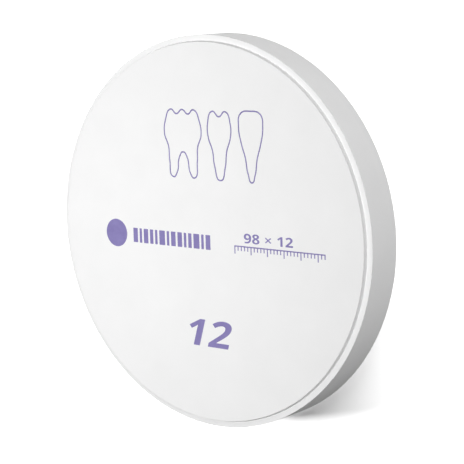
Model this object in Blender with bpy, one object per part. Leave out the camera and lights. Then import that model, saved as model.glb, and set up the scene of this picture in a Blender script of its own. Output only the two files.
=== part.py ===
"""Dental milling disc: a round pre-sintered ceramic blank, pressed and turned in one piece.

A thick collar carries a low drafted boss on each side. A milling machine's holder grips the collar by
its rim and by the two flat shoulders round the bosses. The disc lies on its back face with +Z up, and
its origin is the centre of that face. Lengths are in metres and angles in radians.
"""

import math

import bmesh
import bpy

# Sizes that the disc is ordered and gripped by
DISC_DIAMETER = 0.098
COLLAR_THICKNESS = 0.010
SHOULDER_WIDTH = 0.0015
STEP_HEIGHT = 0.001

# Draft of the boss walls, as the amount that each wall leans in over its height
BOSS_DRAFT = 0.00025

# Edge breaks and root fillets
BOSS_EDGE_BREAK = 0.00015
COLLAR_EDGE_BREAK = 0.00020
ROOT_FILLET = 0.00015
BREAK_SEGMENTS = 3

# Steps of the full turn
TURN_STEPS = 144

# Two points closer than this are the same point
SAME_PLACE = 2e-6

CERAMIC_COLOR = (0.90, 0.90, 0.885, 1.0)
CERAMIC_ROUGHNESS = 0.55
SHARP_ANGLE = math.radians(14.0)


def clear_scene():
    for thing in list(bpy.data.objects):
        bpy.data.objects.remove(thing, do_unlink=True)


def ceramic_material():
    material = bpy.data.materials.new("pressed_ceramic")
    material.use_nodes = True
    shader = material.node_tree.nodes["Principled BSDF"]
    shader.inputs["Base Color"].default_value = CERAMIC_COLOR
    shader.inputs["Roughness"].default_value = CERAMIC_ROUGHNESS
    shader.inputs["Metallic"].default_value = 0.0
    return material


def turned_corners():
    """Corners of the half section as (radius, height, edge break), from the back face up to the front face."""
    collar_radius = DISC_DIAMETER / 2
    root_radius = collar_radius - SHOULDER_WIDTH
    edge_radius = root_radius - BOSS_DRAFT
    back_shoulder = STEP_HEIGHT
    front_shoulder = back_shoulder + COLLAR_THICKNESS
    front_face = front_shoulder + STEP_HEIGHT
    return [
        (edge_radius, 0.0, BOSS_EDGE_BREAK),
        (root_radius, back_shoulder, ROOT_FILLET),
        (collar_radius, back_shoulder, COLLAR_EDGE_BREAK),
        (collar_radius, front_shoulder, COLLAR_EDGE_BREAK),
        (root_radius, front_shoulder, ROOT_FILLET),
        (edge_radius, front_face, BOSS_EDGE_BREAK),
    ]


def turn_section(mesh, corners):
    """Turns the half section once round the Z axis into a closed solid with sharp corners."""
    section = [mesh.verts.new((0.0, 0.0, corners[0][1]))]
    for radius, height, _ in corners:
        section.append(mesh.verts.new((radius, 0.0, height)))
    section.append(mesh.verts.new((0.0, 0.0, corners[-1][1])))
    edges = [mesh.edges.new(pair) for pair in zip(section, section[1:])]
    bmesh.ops.spin(
        mesh,
        geom=section + edges,
        cent=(0.0, 0.0, 0.0),
        axis=(0.0, 0.0, 1.0),
        angle=math.tau,
        steps=TURN_STEPS,
        use_merge=True,
    )
    bmesh.ops.remove_doubles(mesh, verts=mesh.verts, dist=SAME_PLACE)
    bmesh.ops.recalc_face_normals(mesh, faces=mesh.faces)


def ring_edges(mesh, radius, height):
    """The circle of edges that one corner of the section left behind."""
    def on_ring(vert):
        off_axis = math.hypot(vert.co.x, vert.co.y)
        return abs(off_axis - radius) < SAME_PLACE and abs(vert.co.z - height) < SAME_PLACE

    return [edge for edge in mesh.edges if on_ring(edge.verts[0]) and on_ring(edge.verts[1])]


def break_corner(mesh, radius, height, width):
    """Rounds an outside corner, or fills an inside one, all the way round."""
    bmesh.ops.bevel(
        mesh,
        geom=ring_edges(mesh, radius, height),
        offset=width,
        offset_type="OFFSET",
        segments=BREAK_SEGMENTS,
        profile=0.5,
        affect="EDGES",
        material=-1,
        clamp_overlap=True,
    )


def milling_disc():
    corners = turned_corners()
    solid = bmesh.new()
    turn_section(solid, corners)
    for radius, height, width in corners:
        break_corner(solid, radius, height, width)
    mesh = bpy.data.meshes.new("milling_disc")
    solid.to_mesh(mesh)
    solid.free()
    mesh.shade_smooth()
    mesh.set_sharp_from_angle(angle=SHARP_ANGLE)
    disc = bpy.data.objects.new("milling_disc", mesh)
    disc.data.materials.append(ceramic_material())
    bpy.context.scene.collection.objects.link(disc)
    return disc


clear_scene()
milling_disc()
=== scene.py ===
"""Dental milling disc: a round blank of pressed white ceramic, turned on its rim and on both shoulders.

The blank lies on its back face with +Z up. A thin film of violet ink is printed on its front face. The
camera looks down on it with the top of the print upward. Lengths are in metres, apart from the bars and
the scale of the print, which are laid out in millimetres.
"""

import math

import bmesh
import bpy
from mathutils import Matrix, Vector

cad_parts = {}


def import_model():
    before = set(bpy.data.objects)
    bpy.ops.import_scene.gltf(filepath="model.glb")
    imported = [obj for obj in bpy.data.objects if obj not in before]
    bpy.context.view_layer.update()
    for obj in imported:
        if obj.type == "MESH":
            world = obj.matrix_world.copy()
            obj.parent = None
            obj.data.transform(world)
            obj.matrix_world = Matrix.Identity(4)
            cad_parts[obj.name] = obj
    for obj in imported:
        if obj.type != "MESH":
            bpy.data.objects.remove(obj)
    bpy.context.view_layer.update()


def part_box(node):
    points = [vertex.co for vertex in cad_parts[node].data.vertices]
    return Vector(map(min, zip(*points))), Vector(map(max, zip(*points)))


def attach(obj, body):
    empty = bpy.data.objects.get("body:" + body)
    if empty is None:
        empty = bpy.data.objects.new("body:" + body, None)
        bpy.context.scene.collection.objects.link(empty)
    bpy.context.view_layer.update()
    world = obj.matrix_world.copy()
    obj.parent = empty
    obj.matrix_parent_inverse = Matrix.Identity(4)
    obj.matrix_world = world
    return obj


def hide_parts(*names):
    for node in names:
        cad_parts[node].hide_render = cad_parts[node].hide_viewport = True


MM = 0.001

# The turned form: shoulders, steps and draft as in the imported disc, breaks and fillets finer
SHOULDER_WIDTH = 1.5 * MM
STEP_HEIGHT = 1.0 * MM
BOSS_DRAFT = 0.25 * MM
BOSS_EDGE_BREAK = 0.10 * MM
COLLAR_EDGE_BREAK = 0.10 * MM
ROOT_FILLET = 0.06 * MM
BREAK_SEGMENTS = 5
TURN_STEPS = 384
SAME_PLACE = 2e-6

# Flat rings on each face, by their radius, which keep the shading of the flat even
FACE_RINGS = (5 * MM, 18 * MM, 32 * MM, 43 * MM)
EDGE_MARGIN = 0.06 * MM

# Thickness of the printed film, and how far it is sunk into the face
FILM = 0.02 * MM
FILM_SINK = 0.01 * MM

# Fields of the print as (left, right, bottom, top), from the middle of the face
THICKNESS_FIELD = (-6.0 * MM, 7.6 * MM, -28.5 * MM, -21.6 * MM)
SIZE_FIELD = (12.2 * MM, 27.0 * MM, -1.3 * MM, 1.1 * MM)
TEETH_FIELD = (-12.5 * MM, 19.0 * MM, 13.4 * MM, 31.0 * MM)

# The numbers, in the built-in font, which has bold figures from this zero on
BOLD_ZERO = 0x1D7EC
NUMBER_SLANT = 0.22
NUMBER_HEIGHT = 10 * MM
NUMBER_DEPTH = 0.5 * MM
NUMBER_CURVE_STEPS = 8
OUTLINE_SAME_PLACE = 1e-7

# The round mark
DOT_CENTRE = (-29.8 * MM, -1.9 * MM)
DOT_RADIUS = 3.6 * MM
DOT_SEGMENTS = 64
PLATE_CORNER_SEGMENTS = 4

# The row of bars, in millimetres
BAR_WIDTHS = (1.5, 0.8, 1.5, 1.1, 0.8, 1.9, 0.8, 1.5, 1.5, 0.8, 1.1, 1.9, 0.8, 1.5)
BAR_GAP = 0.62
BAR_HEIGHT = 3.7
BAR_CORNER = 0.12
BARS_LEFT = -24.0
BARS_MIDDLE = -2.05

# The fine scale, in millimetres
SCALE_LEFT = 9.3
SCALE_LINE = -2.2
SCALE_TICKS = 27
TICK_WIDTH = 0.3
TICK_CORNER = 0.05
SHORT_TICK = 1.1
LONG_TICK = 1.9
LONG_TICK_STEP = 5

# Tooth outlines in a field one unit wide and one unit high, from the left of the crown round to the right
MOLAR = (
    (0.08, 0.80), (0.22, 0.96), (0.36, 0.90), (0.50, 0.96), (0.64, 0.90), (0.78, 0.96), (0.92, 0.80),
    (0.95, 0.62), (0.86, 0.45), (0.84, 0.25), (0.76, 0.03), (0.66, 0.10), (0.60, 0.30), (0.50, 0.38),
    (0.40, 0.30), (0.34, 0.10), (0.24, 0.03), (0.16, 0.25), (0.14, 0.45), (0.05, 0.62),
)
PREMOLAR = (
    (0.15, 0.78), (0.30, 0.95), (0.50, 0.88), (0.70, 0.95), (0.85, 0.78), (0.84, 0.60),
    (0.72, 0.42), (0.66, 0.20), (0.50, 0.02), (0.34, 0.20), (0.28, 0.42), (0.16, 0.60),
)
INCISOR = (
    (0.20, 0.93), (0.50, 0.97), (0.80, 0.93), (0.86, 0.75), (0.78, 0.52), (0.68, 0.35),
    (0.60, 0.12), (0.50, 0.02), (0.40, 0.12), (0.32, 0.35), (0.22, 0.52), (0.14, 0.75),
)

# The teeth as (outline, left, width), before they are fitted into their field
TEETH = ((MOLAR, 0.0, 12.4 * MM), (PREMOLAR, 12.4 * MM, 9.6 * MM), (INCISOR, 21.6 * MM, 9.6 * MM))
TOOTH_HEIGHT = 17.0 * MM
TOOTH_LINE = 0.34 * MM
TOOTH_LINE_ROUNDING = 2
TOOTH_CURVE_STEPS = 10

# The pressed grain, by noise scales per metre and by the shares in which its layers are mixed
GRAIN_SCALE = 4200.0
MOTTLE_SCALE = 90.0
COARSE_PER_FINE = 0.22
COARSE_SHARE = 0.5
GRAIN_IN_TONE = 0.22
TONE_LEVEL = 0.75
HEIGHT_LEVEL = 0.67
TONE_SPAN = (0.3, 0.7)

# The marks of the turning tool
RING_SCALE = 5000.0
RING_DETAIL = 2.0

# The ceramic: colours, roughness, gloss, and bumps as (strength, depth)
CERAMIC_TONES = ((0.885, 0.885, 0.885), (0.915, 0.915, 0.915))
CERAMIC_ROUGHNESS = (0.86, 0.98)
CERAMIC_GLOSS = 0.10
CERAMIC_POWDER = (0.25, 0.03 * MM)
CERAMIC_TURNING = (0.35, 0.02 * MM)

# The ink
INK_TONES = ((0.200, 0.168, 0.392), (0.244, 0.214, 0.457))
INK_ROUGHNESS = (0.50, 0.62)
INK_GLOSS = 0.3
INK_POWDER = (0.2, 0.02 * MM)
INK_MOTTLE_SCALE = 420.0

# Camera, fitted to the photograph
IMAGE_SIZE = 464
FOCAL_PIXELS = 1618.92
SENSOR = 36.0
CAMERA_AZIMUTH = math.radians(39.083)
CAMERA_ELEVATION = math.radians(8.896)
CAMERA_ROLL = math.radians(-1.586)
CAMERA_DISTANCE = 400 * MM
CAMERA_RIGHT = 6.62 * MM
CAMERA_UP = 0.50 * MM
NEAREST_SEEN = 0.01
FARTHEST_SEEN = 20.0

# Soft boxes as (name, azimuth, elevation, distance, width, height, power), with the angles in degrees. The
# one before the face isn't shaded by the disc, whose step would throw a shadow on the shoulder. The low ones
# stand for light thrown up from a white table, so the floor doesn't shade them.
FACE_LAMPS = (
    ("face_lamp", 180.0, 73.3, 0.209, 0.12, 0.12, 0.282),
)
SIDE_LAMPS = (
    ("right_lamp", 0.0, 35.0, 0.6, 0.4, 0.4, 1.45),
    ("top_lamp", 90.0, 35.0, 0.6, 0.4, 0.4, 0.95),
)
LOW_LAMPS = (
    ("low_right_lamp", 38.0, -45.0, 0.6, 0.4, 0.4, 1.78),
    ("low_top_lamp", 125.0, -45.0, 0.6, 0.4, 0.4, 0.85),
    ("low_left_lamp", 205.0, -45.0, 0.6, 0.16, 0.16, 1.90),
)
FLOOR_LAMPS = (
    ("floor_lamp_left", 185.0, 17.0, 1.2, 0.4, 0.4, 88.6),
    ("floor_lamp_top", 60.0, 10.0, 1.2, 1.1, 0.4, 82.2),
)
ROOM_LIGHT = 0.05

# The floor: its reach to each side, its gap under the disc, its tone where it is seen and where it throws
# light on the disc, the light added to its shadow, and the radii between which it turns plain white
FLOOR_REACH = 2.0
FLOOR_GAP = 0.02 * MM
FLOOR_TONE = 0.95
FLOOR_BOUNCE = 0.045
FLOOR_LIFT = 0.20
FLOOR_FADE = (0.10, 0.16)


def new_object(name, solid):
    """Makes an object of the finished bmesh."""
    mesh = bpy.data.meshes.new(name)
    solid.to_mesh(mesh)
    solid.free()
    made = bpy.data.objects.new(name, mesh)
    bpy.context.scene.collection.objects.link(made)
    return made


def closed_piece(name, solid):
    """Makes a piece of the finished closed bmesh, with its normals outward."""
    bmesh.ops.recalc_face_normals(solid, faces=solid.faces)
    return new_object(name, solid)


def round_off(solid, items, width, segments, affect):
    """Rounds edges, or the corners of a flat face, off evenly."""
    return bmesh.ops.bevel(
        solid,
        geom=items,
        offset=width,
        offset_type="OFFSET",
        segments=segments,
        profile=0.5,
        affect=affect,
        material=-1,
        clamp_overlap=True,
    )


# The blank


def blank_corners(low, high):
    """Corners of the half section as (radius, height, break width), from the back face to the front face."""
    collar_radius = high.x
    root_radius = collar_radius - SHOULDER_WIDTH
    edge_radius = root_radius - BOSS_DRAFT
    back_face = low.z
    front_face = high.z - FILM
    back_shoulder = low.z + STEP_HEIGHT
    front_shoulder = high.z - STEP_HEIGHT
    return [
        (edge_radius, back_face, BOSS_EDGE_BREAK),
        (root_radius, back_shoulder, ROOT_FILLET),
        (collar_radius, back_shoulder, COLLAR_EDGE_BREAK),
        (collar_radius, front_shoulder, COLLAR_EDGE_BREAK),
        (root_radius, front_shoulder, ROOT_FILLET),
        (edge_radius, front_face, BOSS_EDGE_BREAK),
    ]


def blank_section(corners):
    """Points of the half section: the corners, with a support point on each side of every break."""
    points = [Vector((0.0, 0.0, corners[0][1]))]
    points += [Vector((radius, 0.0, corners[0][1])) for radius in FACE_RINGS]
    path = [Vector((radius, 0.0, height)) for radius, height, _ in corners]
    ends = [points[-1]] + path + [Vector((FACE_RINGS[-1], 0.0, corners[-1][1]))]
    for before, corner, after, (_, _, width) in zip(ends, path, ends[2:], corners):
        reach = width + EDGE_MARGIN
        points.append(corner + (before - corner).normalized() * reach)
        points.append(corner)
        points.append(corner + (after - corner).normalized() * reach)
    points += [Vector((radius, 0.0, corners[-1][1])) for radius in reversed(FACE_RINGS)]
    points.append(Vector((0.0, 0.0, corners[-1][1])))
    return points


def ring_edges(solid, radius, height):
    """The circle of edges that one corner of the section left behind."""
    def on_ring(vert):
        off_axis = math.hypot(vert.co.x, vert.co.y)
        return abs(off_axis - radius) < SAME_PLACE and abs(vert.co.z - height) < SAME_PLACE

    return [edge for edge in solid.edges if on_ring(edge.verts[0]) and on_ring(edge.verts[1])]


def turned_blank():
    """The half section turned round the axis, with each of its corners broken or filled."""
    low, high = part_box("milling_disc")
    corners = blank_corners(low, high)
    solid = bmesh.new()
    section = [solid.verts.new(point) for point in blank_section(corners)]
    edges = [solid.edges.new(pair) for pair in zip(section, section[1:])]
    bmesh.ops.spin(
        solid,
        geom=section + edges,
        cent=(0.0, 0.0, 0.0),
        axis=(0.0, 0.0, 1.0),
        angle=math.tau,
        steps=TURN_STEPS,
        use_merge=True,
    )
    bmesh.ops.remove_doubles(solid, verts=solid.verts, dist=SAME_PLACE)
    for radius, height, width in corners:
        round_off(solid, ring_edges(solid, radius, height), width, BREAK_SEGMENTS, "EDGES")
    blank = closed_piece("turned_blank", solid)
    blank.data.shade_smooth()
    return blank


# The print on the front face


def film_bottom():
    """Height of the under side of the film, a little below the ceramic of the front face."""
    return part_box("milling_disc")[1].z - FILM - FILM_SINK


def faces_at(verts):
    """The faces that meet at some vertices, each of them once."""
    return list(dict.fromkeys(face for vert in verts for face in vert.link_faces))


def raise_film(solid, faces, centre):
    """Gives flat faces the thickness of the film and lays them on the front face."""
    made = bmesh.ops.extrude_face_region(solid, geom=faces, use_keep_orig=True)
    top = [item for item in made["geom"] if isinstance(item, bmesh.types.BMVert)]
    bottom = list(dict.fromkeys(vert for face in faces for vert in face.verts))
    bmesh.ops.translate(solid, vec=(0.0, 0.0, FILM + FILM_SINK), verts=top)
    bmesh.ops.translate(solid, vec=(centre[0], centre[1], film_bottom()), verts=top + bottom)


def film_plate(solid, centre, width, height, corner):
    """One plain plate of ink with rounded corners."""
    made = bmesh.ops.create_grid(solid, x_segments=1, y_segments=1, size=0.5)
    bmesh.ops.scale(solid, vec=(width, height, 1.0), verts=made["verts"])
    rounded = round_off(solid, made["verts"], corner, PLATE_CORNER_SEGMENTS, "VERTICES")
    raise_film(solid, faces_at(rounded["verts"]), centre)


def flat_curve_piece(name, curve, field):
    """Makes a text or a drawing a mesh, fits it into a field of the print and flattens it to the film."""
    left, right, bottom, top = field
    holder = bpy.data.objects.new(name, curve)
    bpy.context.scene.collection.objects.link(holder)
    bpy.context.view_layer.update()
    mesh = bpy.data.meshes.new_from_object(holder.evaluated_get(bpy.context.evaluated_depsgraph_get()))
    bpy.data.objects.remove(holder)
    bpy.data.curves.remove(curve)
    solid = bmesh.new()
    solid.from_mesh(mesh)
    bpy.data.meshes.remove(mesh)
    bmesh.ops.remove_doubles(solid, verts=solid.verts, dist=OUTLINE_SAME_PLACE)
    low = Vector([min(vert.co[axis] for vert in solid.verts) for axis in range(3)])
    high = Vector([max(vert.co[axis] for vert in solid.verts) for axis in range(3)])
    size = high - low
    bmesh.ops.translate(solid, vec=-low, verts=solid.verts)
    fit = ((right - left) / size.x, (top - bottom) / size.y, (FILM + FILM_SINK) / size.z)
    bmesh.ops.scale(solid, vec=fit, verts=solid.verts)
    bmesh.ops.translate(solid, vec=(left, bottom, film_bottom()), verts=solid.verts)
    return closed_piece(name, solid)


def bold_figures(number):
    """A whole number in the bold upright figures of the built-in font."""
    return "".join(chr(BOLD_ZERO + int(figure)) for figure in f"{number:.0f}")


def number_curve(text, slant):
    """Figures of any size; their field of the print gives them their own."""
    curve = bpy.data.curves.new("number", "FONT")
    curve.body = text
    curve.size = NUMBER_HEIGHT
    curve.shear = slant
    curve.extrude = NUMBER_DEPTH
    curve.resolution_u = NUMBER_CURVE_STEPS
    return curve


def thickness_number():
    """The thickness of the blank in millimetres, in bold slanted figures."""
    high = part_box("milling_disc")[1].z
    curve = number_curve(bold_figures(high / MM), NUMBER_SLANT)
    return flat_curve_piece("thickness_number", curve, THICKNESS_FIELD)


def size_number():
    """Diameter and thickness in small bold figures."""
    low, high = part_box("milling_disc")
    text = bold_figures((high.x - low.x) / MM) + " × " + bold_figures((high.z - low.z) / MM)
    return flat_curve_piece("size_number", number_curve(text, 0.0), SIZE_FIELD)


def index_dot():
    """A plain round mark, by which the blank is set the same way round in its holder."""
    solid = bmesh.new()
    made = bmesh.ops.create_circle(solid, cap_ends=True, segments=DOT_SEGMENTS, radius=DOT_RADIUS)
    raise_film(solid, faces_at(made["verts"]), DOT_CENTRE)
    return closed_piece("index_dot", solid)


def bar_row():
    """A row of upright bars of uneven width."""
    solid = bmesh.new()
    left = BARS_LEFT
    for width in BAR_WIDTHS:
        centre = ((left + width / 2) * MM, BARS_MIDDLE * MM)
        film_plate(solid, centre, width * MM, BAR_HEIGHT * MM, BAR_CORNER * MM)
        left += width + BAR_GAP
    return closed_piece("bar_row", solid)


def fine_scale():
    """A line with a tick at each millimetre and a longer one at each fifth."""
    solid = bmesh.new()
    middle = ((SCALE_LEFT + SCALE_TICKS / 2) * MM, SCALE_LINE * MM)
    film_plate(solid, middle, (SCALE_TICKS + TICK_WIDTH) * MM, TICK_WIDTH * MM, TICK_CORNER * MM)
    for tick in range(SCALE_TICKS + 1):
        length = SHORT_TICK if tick % LONG_TICK_STEP else LONG_TICK
        centre = ((SCALE_LEFT + tick) * MM, (SCALE_LINE - length / 2) * MM)
        film_plate(solid, centre, TICK_WIDTH * MM, length * MM, TICK_CORNER * MM)
    return closed_piece("fine_scale", solid)


def drawn_line(curve, points):
    """A smooth closed line through points."""
    spline = curve.splines.new("BEZIER")
    spline.bezier_points.add(len(points) - 1)
    for knot, (x, y) in zip(spline.bezier_points, points):
        knot.co = (x, y, 0.0)
        knot.handle_left_type = "AUTO"
        knot.handle_right_type = "AUTO"
    spline.use_cyclic_u = True
    spline.resolution_u = TOOTH_CURVE_STEPS


def tooth_outlines():
    """Three plain tooth shapes in thin line."""
    curve = bpy.data.curves.new("tooth_lines", "CURVE")
    curve.dimensions = "3D"
    curve.bevel_depth = TOOTH_LINE / 2
    curve.bevel_resolution = TOOTH_LINE_ROUNDING
    for outline, left, width in TEETH:
        drawn_line(curve, [(left + x * width, y * TOOTH_HEIGHT) for x, y in outline])
    return flat_curve_piece("tooth_outlines", curve, TEETH_FIELD)


# Finishes


def link(tree, source, target):
    """Links an output to an input."""
    tree.links.new(source, target)


def feed(tree, value, target):
    """Sets an input to a number, or links an output to it."""
    if isinstance(value, float):
        target.default_value = value
    else:
        link(tree, value, target)


def new_group(name, inputs, outputs):
    """A shader group with named sockets; inputs are (name, kind, value) and outputs are (name, kind)."""
    group = bpy.data.node_groups.new(name, "ShaderNodeTree")
    for label, kind, value in inputs:
        socket = group.interface.new_socket(label, in_out="INPUT", socket_type=kind)
        if value is not None:
            socket.default_value = value
    for label, kind in outputs:
        group.interface.new_socket(label, in_out="OUTPUT", socket_type=kind)
    entry = group.nodes.new("NodeGroupInput")
    exit_node = group.nodes.new("NodeGroupOutput")
    return group, entry, exit_node


def math_node(tree, operation, *values):
    """One step of arithmetic on up to three numbers or outputs."""
    node = tree.nodes.new("ShaderNodeMath")
    node.operation = operation
    for value, socket in zip(values, node.inputs):
        feed(tree, value, socket)
    return node.outputs["Value"]


def noise_node(tree, vector, scale, detail, roughness):
    """Soft noise round a half."""
    node = tree.nodes.new("ShaderNodeTexNoise")
    link(tree, vector, node.inputs["Vector"])
    feed(tree, scale, node.inputs["Scale"])
    feed(tree, detail, node.inputs["Detail"])
    feed(tree, roughness, node.inputs["Roughness"])
    return node.outputs["Fac"]


def pressed_grain_group():
    """Powder grain of a pressed body: fine grain, coarser pores and a soft mottle."""
    group, entry, exit_node = new_group(
        "pressed_grain",
        [
            ("Vector", "NodeSocketVector", None),
            ("Grain per metre", "NodeSocketFloat", GRAIN_SCALE),
            ("Mottle per metre", "NodeSocketFloat", MOTTLE_SCALE),
        ],
        [("Tone", "NodeSocketFloat"), ("Height", "NodeSocketFloat")],
    )
    vector = entry.outputs["Vector"]
    per_metre = entry.outputs["Grain per metre"]
    fine = noise_node(group, vector, per_metre, detail=3.0, roughness=0.6)
    coarse_per_metre = math_node(group, "MULTIPLY", per_metre, COARSE_PER_FINE)
    coarse = noise_node(group, vector, coarse_per_metre, detail=2.0, roughness=0.5)
    mottle = noise_node(group, vector, entry.outputs["Mottle per metre"], detail=3.0, roughness=0.55)
    grain = math_node(group, "MULTIPLY_ADD", coarse, COARSE_SHARE, fine)
    tone = math_node(group, "MULTIPLY_ADD", grain, GRAIN_IN_TONE, mottle)
    link(group, math_node(group, "MULTIPLY", tone, TONE_LEVEL), exit_node.inputs["Tone"])
    link(group, math_node(group, "MULTIPLY", grain, HEIGHT_LEVEL), exit_node.inputs["Height"])
    return group


def turning_marks_group():
    """Rings left by the turning tool: they run round the axis, in step with radius plus height."""
    group, entry, exit_node = new_group(
        "turning_marks",
        [
            ("Vector", "NodeSocketVector", None),
            ("Rings per metre", "NodeSocketFloat", RING_SCALE),
        ],
        [("Height", "NodeSocketFloat")],
    )
    split = group.nodes.new("ShaderNodeSeparateXYZ")
    link(group, entry.outputs["Vector"], split.inputs["Vector"])
    square_x = math_node(group, "MULTIPLY", split.outputs["X"], split.outputs["X"])
    squares = math_node(group, "MULTIPLY_ADD", split.outputs["Y"], split.outputs["Y"], square_x)
    radius = math_node(group, "SQRT", squares)
    along = math_node(group, "ADD", radius, split.outputs["Z"])
    rings = group.nodes.new("ShaderNodeTexNoise")
    rings.noise_dimensions = "1D"
    link(group, along, rings.inputs["W"])
    link(group, entry.outputs["Rings per metre"], rings.inputs["Scale"])
    rings.inputs["Detail"].default_value = RING_DETAIL
    link(group, rings.outputs["Fac"], exit_node.inputs["Height"])
    return group


def group_node(tree, group, vector):
    """Places a group in a material and gives it the place on the piece."""
    node = tree.nodes.new("ShaderNodeGroup")
    node.node_tree = group
    link(tree, vector, node.inputs["Vector"])
    return node


def object_vector(tree):
    """The place on the piece, in metres."""
    return tree.nodes.new("ShaderNodeTexCoord").outputs["Object"]


def tone_ramp(tree, value, tones):
    """Runs from the dark tone to the light one."""
    ramp = tree.nodes.new("ShaderNodeValToRGB")
    for stop, position, tone in zip(ramp.color_ramp.elements, TONE_SPAN, tones):
        stop.position = position
        stop.color = (*tone, 1.0)
    link(tree, value, ramp.inputs["Fac"])
    return ramp.outputs["Color"]


def value_range(tree, value, source, target):
    """Maps one range of a value evenly on another."""
    node = tree.nodes.new("ShaderNodeMapRange")
    link(tree, value, node.inputs["Value"])
    for label, limit in zip(("From Min", "From Max", "To Min", "To Max"), source + target):
        node.inputs[label].default_value = limit
    return node.outputs["Result"]


def bump(tree, height, setting, under=None):
    """A bump of one strength and depth, over another one if that is given."""
    node = tree.nodes.new("ShaderNodeBump")
    node.inputs["Strength"].default_value, node.inputs["Distance"].default_value = setting
    link(tree, height, node.inputs["Height"])
    if under is not None:
        link(tree, under, node.inputs["Normal"])
    return node.outputs["Normal"]


def new_material(name):
    """A new material, with its nodes and its main shader."""
    material = bpy.data.materials.new(name)
    material.use_nodes = True
    return material, material.node_tree, material.node_tree.nodes["Principled BSDF"]


def ceramic(grain_group, marks_group):
    """White pre-sintered ceramic: chalky, matte and barely mottled."""
    material, tree, shader = new_material("turned_ceramic")
    vector = object_vector(tree)
    grain = group_node(tree, grain_group, vector)
    marks = group_node(tree, marks_group, vector)
    roughness = value_range(tree, grain.outputs["Height"], (0.0, 1.0), CERAMIC_ROUGHNESS)
    powder = bump(tree, grain.outputs["Height"], CERAMIC_POWDER)
    turned = bump(tree, marks.outputs["Height"], CERAMIC_TURNING, powder)
    link(tree, tone_ramp(tree, grain.outputs["Tone"], CERAMIC_TONES), shader.inputs["Base Color"])
    link(tree, roughness, shader.inputs["Roughness"])
    link(tree, turned, shader.inputs["Normal"])
    shader.inputs["Specular IOR Level"].default_value = CERAMIC_GLOSS
    return material


def violet_ink(grain_group):
    """Matte violet ink that has sunk a little into the ceramic."""
    material, tree, shader = new_material("violet_ink")
    grain = group_node(tree, grain_group, object_vector(tree))
    grain.inputs["Mottle per metre"].default_value = INK_MOTTLE_SCALE
    roughness = value_range(tree, grain.outputs["Height"], (0.0, 1.0), INK_ROUGHNESS)
    link(tree, tone_ramp(tree, grain.outputs["Tone"], INK_TONES), shader.inputs["Base Color"])
    link(tree, roughness, shader.inputs["Roughness"])
    link(tree, bump(tree, grain.outputs["Height"], INK_POWDER), shader.inputs["Normal"])
    shader.inputs["Specular IOR Level"].default_value = INK_GLOSS
    return material


# Stage, camera and lamps


def view_axes():
    """Right, up and back directions of the camera, from the disc's own frame."""
    sa, ca = math.sin(CAMERA_AZIMUTH), math.cos(CAMERA_AZIMUTH)
    se, ce = math.sin(CAMERA_ELEVATION), math.cos(CAMERA_ELEVATION)
    back = Vector((sa * ce, se, ca * ce))
    level_right = Vector((ca, 0.0, -sa))
    level_up = Vector((-sa * se, ce, -ca * se))
    sr, cr = math.sin(CAMERA_ROLL), math.cos(CAMERA_ROLL)
    return level_right * cr + level_up * sr, level_up * cr - level_right * sr, back


def place_camera():
    """Sets the camera up at the photograph's angle to the face."""
    right, up, back = view_axes()
    front_centre = Vector((0.0, 0.0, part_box("milling_disc")[1].z))
    spot = front_centre + back * CAMERA_DISTANCE + right * CAMERA_RIGHT + up * CAMERA_UP
    data = bpy.data.cameras.new("camera")
    data.sensor_fit = "HORIZONTAL"
    data.sensor_width = SENSOR
    data.lens = FOCAL_PIXELS / IMAGE_SIZE * SENSOR
    data.clip_start = NEAREST_SEEN
    data.clip_end = FARTHEST_SEEN
    camera = bpy.data.objects.new("camera", data)
    turn = Matrix((right, up, back)).transposed().to_4x4()
    camera.matrix_world = Matrix.Translation(spot) @ turn
    bpy.context.scene.collection.objects.link(camera)
    bpy.context.scene.camera = camera


def seen_rays(tree):
    """One for the rays that see the background: from the camera, in gloss and through glass."""
    path = tree.nodes.new("ShaderNodeLightPath")
    mirrored = math_node(tree, "MAXIMUM", path.outputs["Is Camera Ray"], path.outputs["Is Glossy Ray"])
    return math_node(tree, "MAXIMUM", mirrored, path.outputs["Is Transmission Ray"])


def even_shader(tree, kind, tone, strength=None):
    """A diffuse, glowing or background shader of one grey tone."""
    node = tree.nodes.new(kind)
    node.inputs["Color"].default_value = (tone, tone, tone, 1.0)
    if strength is not None:
        node.inputs["Strength"].default_value = strength
    return node.outputs[0]


def mixed_shader(tree, share, first, second):
    """The first shader where the share is zero, and the second where it is one."""
    node = tree.nodes.new("ShaderNodeMixShader")
    for source, target in zip((share, first, second), node.inputs):
        link(tree, source, target)
    return node.outputs["Shader"]


def floor_material():
    """A pale floor, which keeps the shadow of the disc and looks plain white farther out."""
    material, tree, shader = new_material("pale_floor")
    tree.nodes.remove(shader)
    near = tree.nodes.new("ShaderNodeAddShader")
    link(tree, even_shader(tree, "ShaderNodeBsdfDiffuse", FLOOR_TONE), near.inputs[0])
    link(tree, even_shader(tree, "ShaderNodeEmission", 1.0, FLOOR_LIFT), near.inputs[1])
    far = even_shader(tree, "ShaderNodeEmission", 1.0, 1.0)
    reach = tree.nodes.new("ShaderNodeVectorMath")
    reach.operation = "LENGTH"
    link(tree, object_vector(tree), reach.inputs[0])
    fade = value_range(tree, reach.outputs["Value"], FLOOR_FADE, (0.0, 1.0))
    seen = mixed_shader(tree, fade, near.outputs["Shader"], far)
    bounce = even_shader(tree, "ShaderNodeBsdfDiffuse", FLOOR_BOUNCE)
    choice = mixed_shader(tree, seen_rays(tree), bounce, seen)
    link(tree, choice, tree.nodes["Material Output"].inputs["Surface"])
    return material


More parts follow.
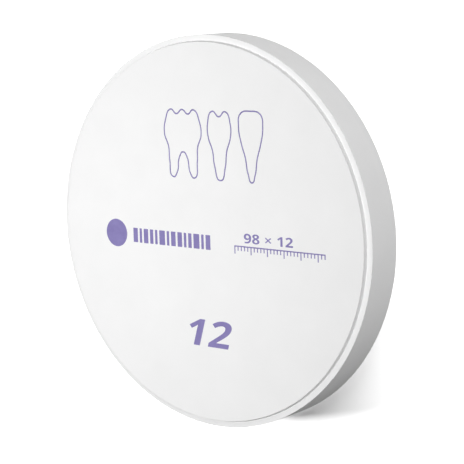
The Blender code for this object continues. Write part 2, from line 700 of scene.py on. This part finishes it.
def pale_floor():
    """A wide sheet just under the disc, which belongs to the stage."""
    sheet = bmesh.new()
    bmesh.ops.create_grid(sheet, x_segments=1, y_segments=1, size=FLOOR_REACH)
    bmesh.ops.translate(sheet, vec=(0.0, 0.0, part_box("milling_disc")[0].z - FLOOR_GAP), verts=sheet.verts)
    floor = new_object("floor", sheet)
    floor.data.materials.append(floor_material())
    return floor


def studio_world():
    """An even pale room, which is plain white where it is seen."""
    world = bpy.data.worlds.new("studio")
    world.use_nodes = True
    tree = world.node_tree
    tree.nodes.remove(tree.nodes["Background"])
    room = even_shader(tree, "ShaderNodeBackground", 1.0, ROOM_LIGHT)
    white = even_shader(tree, "ShaderNodeBackground", 1.0, 1.0)
    choice = mixed_shader(tree, seen_rays(tree), room, white)
    link(tree, choice, tree.nodes["World Output"].inputs["Surface"])
    bpy.context.scene.world = world


def soft_lamp(name, azimuth, elevation, distance, width, height, power):
    """A soft box that faces the middle of the disc."""
    data = bpy.data.lights.new(name, "AREA")
    data.shape = "RECTANGLE"
    data.size = width
    data.size_y = height
    data.energy = power
    lamp = bpy.data.objects.new(name, data)
    angle, rise = math.radians(azimuth), math.radians(elevation)
    toward = Vector((math.cos(angle) * math.cos(rise), math.sin(angle) * math.cos(rise), math.sin(rise)))
    turn = toward.to_track_quat("Z", "Y").to_matrix().to_4x4()
    lamp.matrix_world = Matrix.Translation(toward * distance) @ turn
    bpy.context.scene.collection.objects.link(lamp)
    return lamp


def linked_group(name, members):
    """A group of objects that lamps can be linked to."""
    group = bpy.data.collections.new(name)
    for member in members:
        group.objects.link(member)
    return group


def place_lamps(disc_group, floor_group):
    """Sets up each row of lamps with the group that it lights and the group that shades it, if not all do."""
    for lamps, lit, shading in (
        (FACE_LAMPS, disc_group, floor_group),
        (SIDE_LAMPS, disc_group, None),
        (LOW_LAMPS, disc_group, disc_group),
        (FLOOR_LAMPS, floor_group, None),
    ):
        for setting in lamps:
            lamp = soft_lamp(*setting)
            lamp.light_linking.receiver_collection = lit
            lamp.light_linking.blocker_collection = shading


def finish_piece(piece, material):
    """Gives a piece its finish; it rides on the one body."""
    piece.data.materials.append(material)
    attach(piece, "root")


def main():
    """Dresses the solid with its finish and print, and sets up the stage."""
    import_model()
    place_camera()
    grain_group = pressed_grain_group()
    marks_group = turning_marks_group()
    white = ceramic(grain_group, marks_group)
    ink = violet_ink(grain_group)
    blank = turned_blank()
    finish_piece(blank, white)
    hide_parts("milling_disc")
    figures = [thickness_number(), size_number()]
    marks = [index_dot(), bar_row(), fine_scale(), tooth_outlines()]
    prints = figures + marks
    for piece in prints:
        finish_piece(piece, ink)
    floor = pale_floor()
    studio_world()
    place_lamps(linked_group("lit_disc", [blank] + prints), linked_group("lit_floor", [floor]))
    bpy.context.scene.view_settings.view_transform = "Standard"


main()
